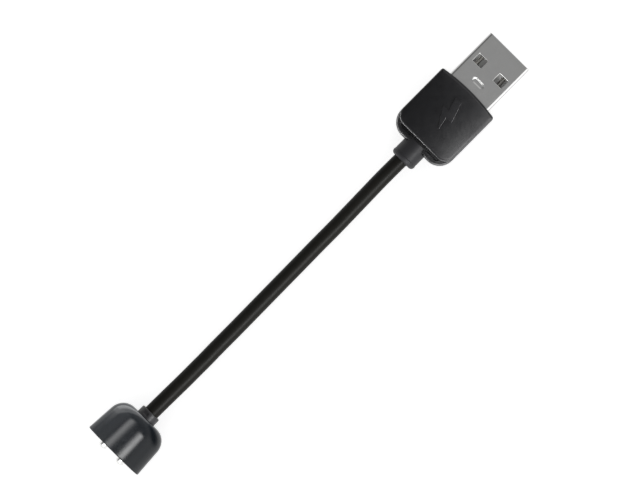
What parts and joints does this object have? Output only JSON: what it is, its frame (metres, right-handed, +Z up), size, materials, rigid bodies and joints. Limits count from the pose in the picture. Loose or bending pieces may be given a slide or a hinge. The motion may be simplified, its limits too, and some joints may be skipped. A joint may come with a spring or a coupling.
{
  "type": "magnetic charging cable",
  "caption": "Short charging cable with a flat metal plug in a moulded grip at one end and a small domed magnetic dock with sprung pins at the other.",
  "frame": {"origin": "on the surface that the cable lies on, below the middle of its length, halfway between the pins' tips and the plug's tip", "axes": "+X runs along the cable from the dock to the tip of the plug, +Y is across the plug, +Z is up, out of the face of the plug that carries the relief mark"},
  "size_m": [0.1274, 0.016, 0.008],
  "materials": {
    "dock_shell": "satin moulded black plastic, slightly blue",
    "face_plate": "fine matt moulded black plastic",
    "gold_plate": "gold-plated, turned",
    "pin_plate": "bright plated, turned",
    "spring_steel": "drawn wire",
    "magnet": "nickel-plated",
    "board": "solder mask over glass fibre",
    "solder": "dull bright",
    "dock_collar": "satin flexible plastic",
    "jacket": "soft matt extruded jacket",
    "wire_red": "extruded insulation",
    "wire_black": "extruded insulation",
    "copper": "bare stranded copper",
    "grip": "finely spark-textured satin black",
    "sleeve": "satin flexible plastic",
    "usb_steel": "stamped nickel-plated steel, finely grained",
    "insulator": "moulded black plastic",
    "contact_plate": "bright plated strip",
    "clamp_steel": "stamped tin-plated steel"
  },
  "bodies": {
    "cable_assembly": {"dock_housing": "dock_shell", "dock_face_plate": "face_plate", "pin_barrel_positive": "gold_plate", "pin_barrel_negative": "gold_plate", "pin_spring_positive": "spring_steel", "pin_spring_negative": "spring_steel", "magnet_left": "magnet", "magnet_right": "magnet", "contact_board": "board", "dock_solder": "solder", "dock_strain_relief": "dock_collar", "cable_jacket": "jacket", "wire_positive": "wire_red", "wire_negative": "wire_black", "conductor_positive": "copper", "conductor_negative": "copper", "plug_strain_relief": "sleeve", "plug_cover_lower": "grip", "plug_cover_upper": "grip", "usb_shell": "usb_steel", "usb_insulator": "insulator", "contact_vbus": "contact_plate", "contact_data_minus": "contact_plate", "contact_data_plus": "contact_plate", "contact_ground": "contact_plate", "cable_clamp": "clamp_steel", "plug_solder": "solder"},
    "positive_pin": {"pin_plunger_positive": "pin_plate"},
    "negative_pin": {"pin_plunger_negative": "pin_plate"}
  },
  "joints": [
    {"name": "positive_pin_press", "type": "slide", "parent": "cable_assembly", "child": "positive_pin", "axis": [1, 0, 0], "range_m": [0, 0.001], "stiffness_N_per_m": 500, "springref_m": -0.0004, "deforming": ["pin_spring_positive"]},
    {"name": "negative_pin_press", "type": "slide", "parent": "cable_assembly", "child": "negative_pin", "axis": [1, 0, 0], "range_m": [0, 0.001], "stiffness_N_per_m": 500, "springref_m": -0.0004, "deforming": ["pin_spring_negative"]}
  ]
}
